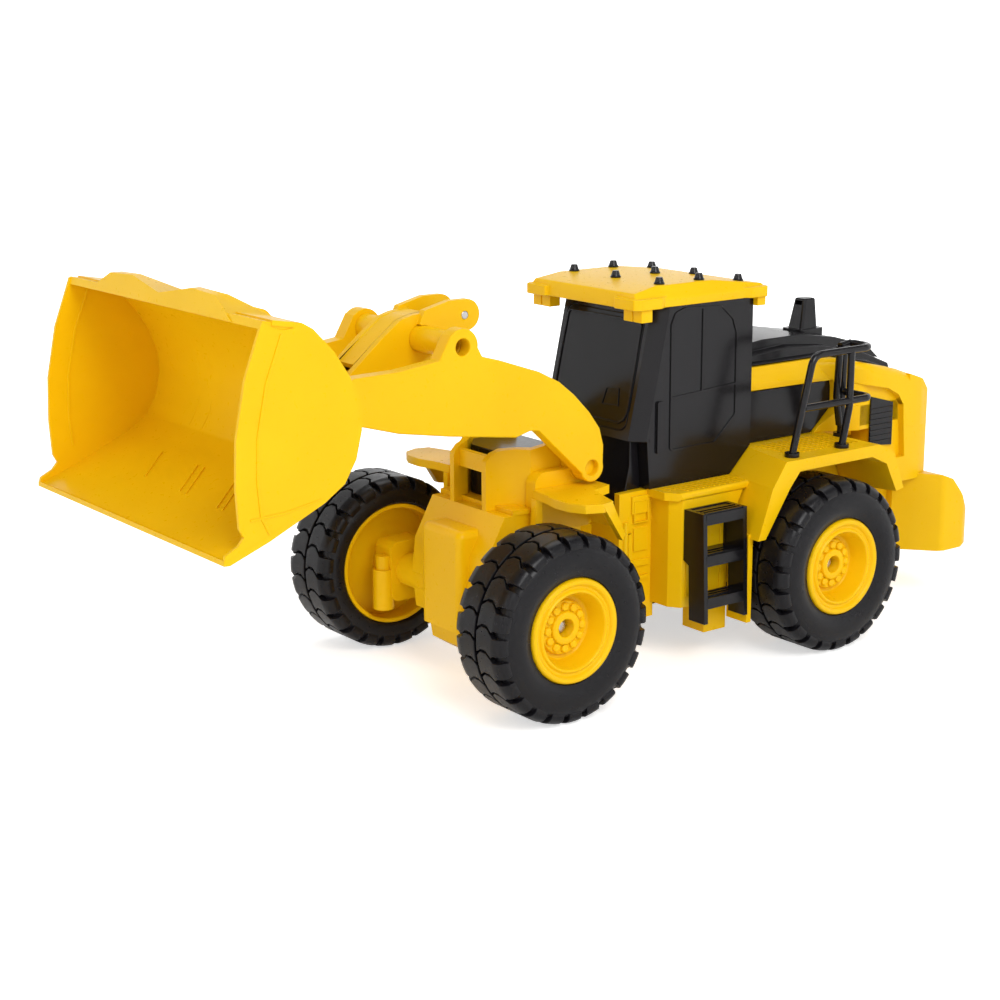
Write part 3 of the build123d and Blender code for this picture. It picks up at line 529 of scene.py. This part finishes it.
def area_light(name, place, target, size, power):
    light = bpy.data.lights.new(name, "AREA")
    light.shape = "RECTANGLE"
    light.size, light.size_y = size
    light.energy = power
    obj = bpy.data.objects.new(name, light)
    obj.location = place
    obj.rotation_mode = "QUATERNION"
    obj.rotation_quaternion = (Vector(target) - Vector(place)).to_track_quat("-Z", "Y")
    bpy.context.scene.collection.objects.link(obj)


def studio():
    """White sweep: a floor that turns up into a round wall, brighter towards the wall."""
    flat_r, bend, wall_top, steps = 2.4, 0.8, 2.2, 64
    section = [(0.4, 0.0), (0.8, 0.0), (1.5, 0.0), (flat_r, 0.0)]
    section += [(flat_r + bend * math.sin(a), bend - bend * math.cos(a))
                for a in (0.3, 0.6, 0.9, 1.2, 1.5708)]
    section += [(flat_r + bend, wall_top)]
    verts = [(r * math.cos(2 * math.pi * n / steps), r * math.sin(2 * math.pi * n / steps), z)
             for n in range(steps) for r, z in section]
    verts.append((0, 0, 0))
    size = len(section)
    faces = []
    for n in range(steps):
        here, there = n * size, (n + 1) % steps * size
        faces.append((len(verts) - 1, here, there))
        for k in range(size - 1):
            faces.append((here + k, here + k + 1, there + k + 1, there + k))
    mesh = bpy.data.meshes.new("sweep")
    mesh.from_pydata(verts, [], faces)
    for polygon in mesh.polygons:
        polygon.use_smooth = True
    sweep = bpy.data.objects.new("sweep", mesh)
    bpy.context.scene.collection.objects.link(sweep)
    mat, tree, shader = new_material("sweep", (0.9, 0.9, 0.9), 0.8)
    shader.inputs["Specular IOR Level"].default_value = 0.1
    vary_colour(tree, shader, remap(tree, noise(tree, 3.0).outputs["Fac"], 0, 1),
                (0.88, 0.88, 0.88), (0.90, 0.90, 0.90))
    coords = tree.nodes.new("ShaderNodeTexCoord")
    away = tree.nodes.new("ShaderNodeVectorMath")
    away.operation = "LENGTH"
    tree.links.new(coords.outputs["Object"], away.inputs[0])
    # seen directly the sweep is white; as a light it stays weak, so shaded sides keep their depth
    ray = tree.nodes.new("ShaderNodeLightPath")
    glow = tree.nodes.new("ShaderNodeMix")
    tree.links.new(ray.outputs["Is Camera Ray"], glow.inputs["Factor"])
    tree.links.new(remap(tree, away.outputs["Value"], 0.12, 0.40, 0.4, 1.4), glow.inputs["A"])
    tree.links.new(remap(tree, away.outputs["Value"], 0.55, 1.05, 0.3, 1.2), glow.inputs["B"])
    tree.links.new(glow.outputs["Result"], shader.inputs["Emission Strength"])
    shader.inputs["Emission Color"].default_value = (1, 1, 1, 1)
    mesh.materials.append(mat)

    area_light("key", (0.35, 1.35, 1.35), (0, 0, 0.10), (0.9, 0.9), 17)
    area_light("front", (1.5, 0.2, 0.9), (0, 0, 0.10), (0.8, 0.5), 1.6)
    area_light("top", (-0.5, -0.3, 1.7), (0, 0, 0.12), (1.0, 0.7), 6)
    world = bpy.data.worlds.new("studio")
    world.use_nodes = True
    background = world.node_tree.nodes["Background"]
    background.inputs["Color"].default_value = (1, 1, 1, 1)
    background.inputs["Strength"].default_value = 0.30
    bpy.context.scene.world = world
    bpy.context.scene.view_settings.view_transform = "Standard"


def camera():
    """Viewpoint ahead and to the left, a little above the roof."""
    cam = bpy.data.objects.new("camera", bpy.data.cameras.new("camera"))
    cam.data.sensor_width = 36
    cam.data.lens = 70.11
    yaw, pitch, roll = math.radians(-127.10), math.radians(-13.90), math.radians(-0.188)
    look = Vector((math.cos(pitch) * math.cos(yaw), math.cos(pitch) * math.sin(yaw),
                   math.sin(pitch)))
    right = look.cross(Vector((0, 0, 1))).normalized()
    up = right.cross(look)
    x_axis = right * math.cos(roll) + up * math.sin(roll)
    y_axis = up * math.cos(roll) - right * math.sin(roll)
    turn = Matrix((x_axis, y_axis, -look)).transposed()
    place = Vector((FRONT_AXLE_X + 541.0 * MM, 748.1 * MM, 318.0 * MM))
    cam.matrix_world = Matrix.Translation(place) @ turn.to_4x4()
    cam.data.clip_start, cam.data.clip_end = 0.02, 30
    bpy.context.scene.collection.objects.link(cam)
    bpy.context.scene.camera = cam


studio()
camera()
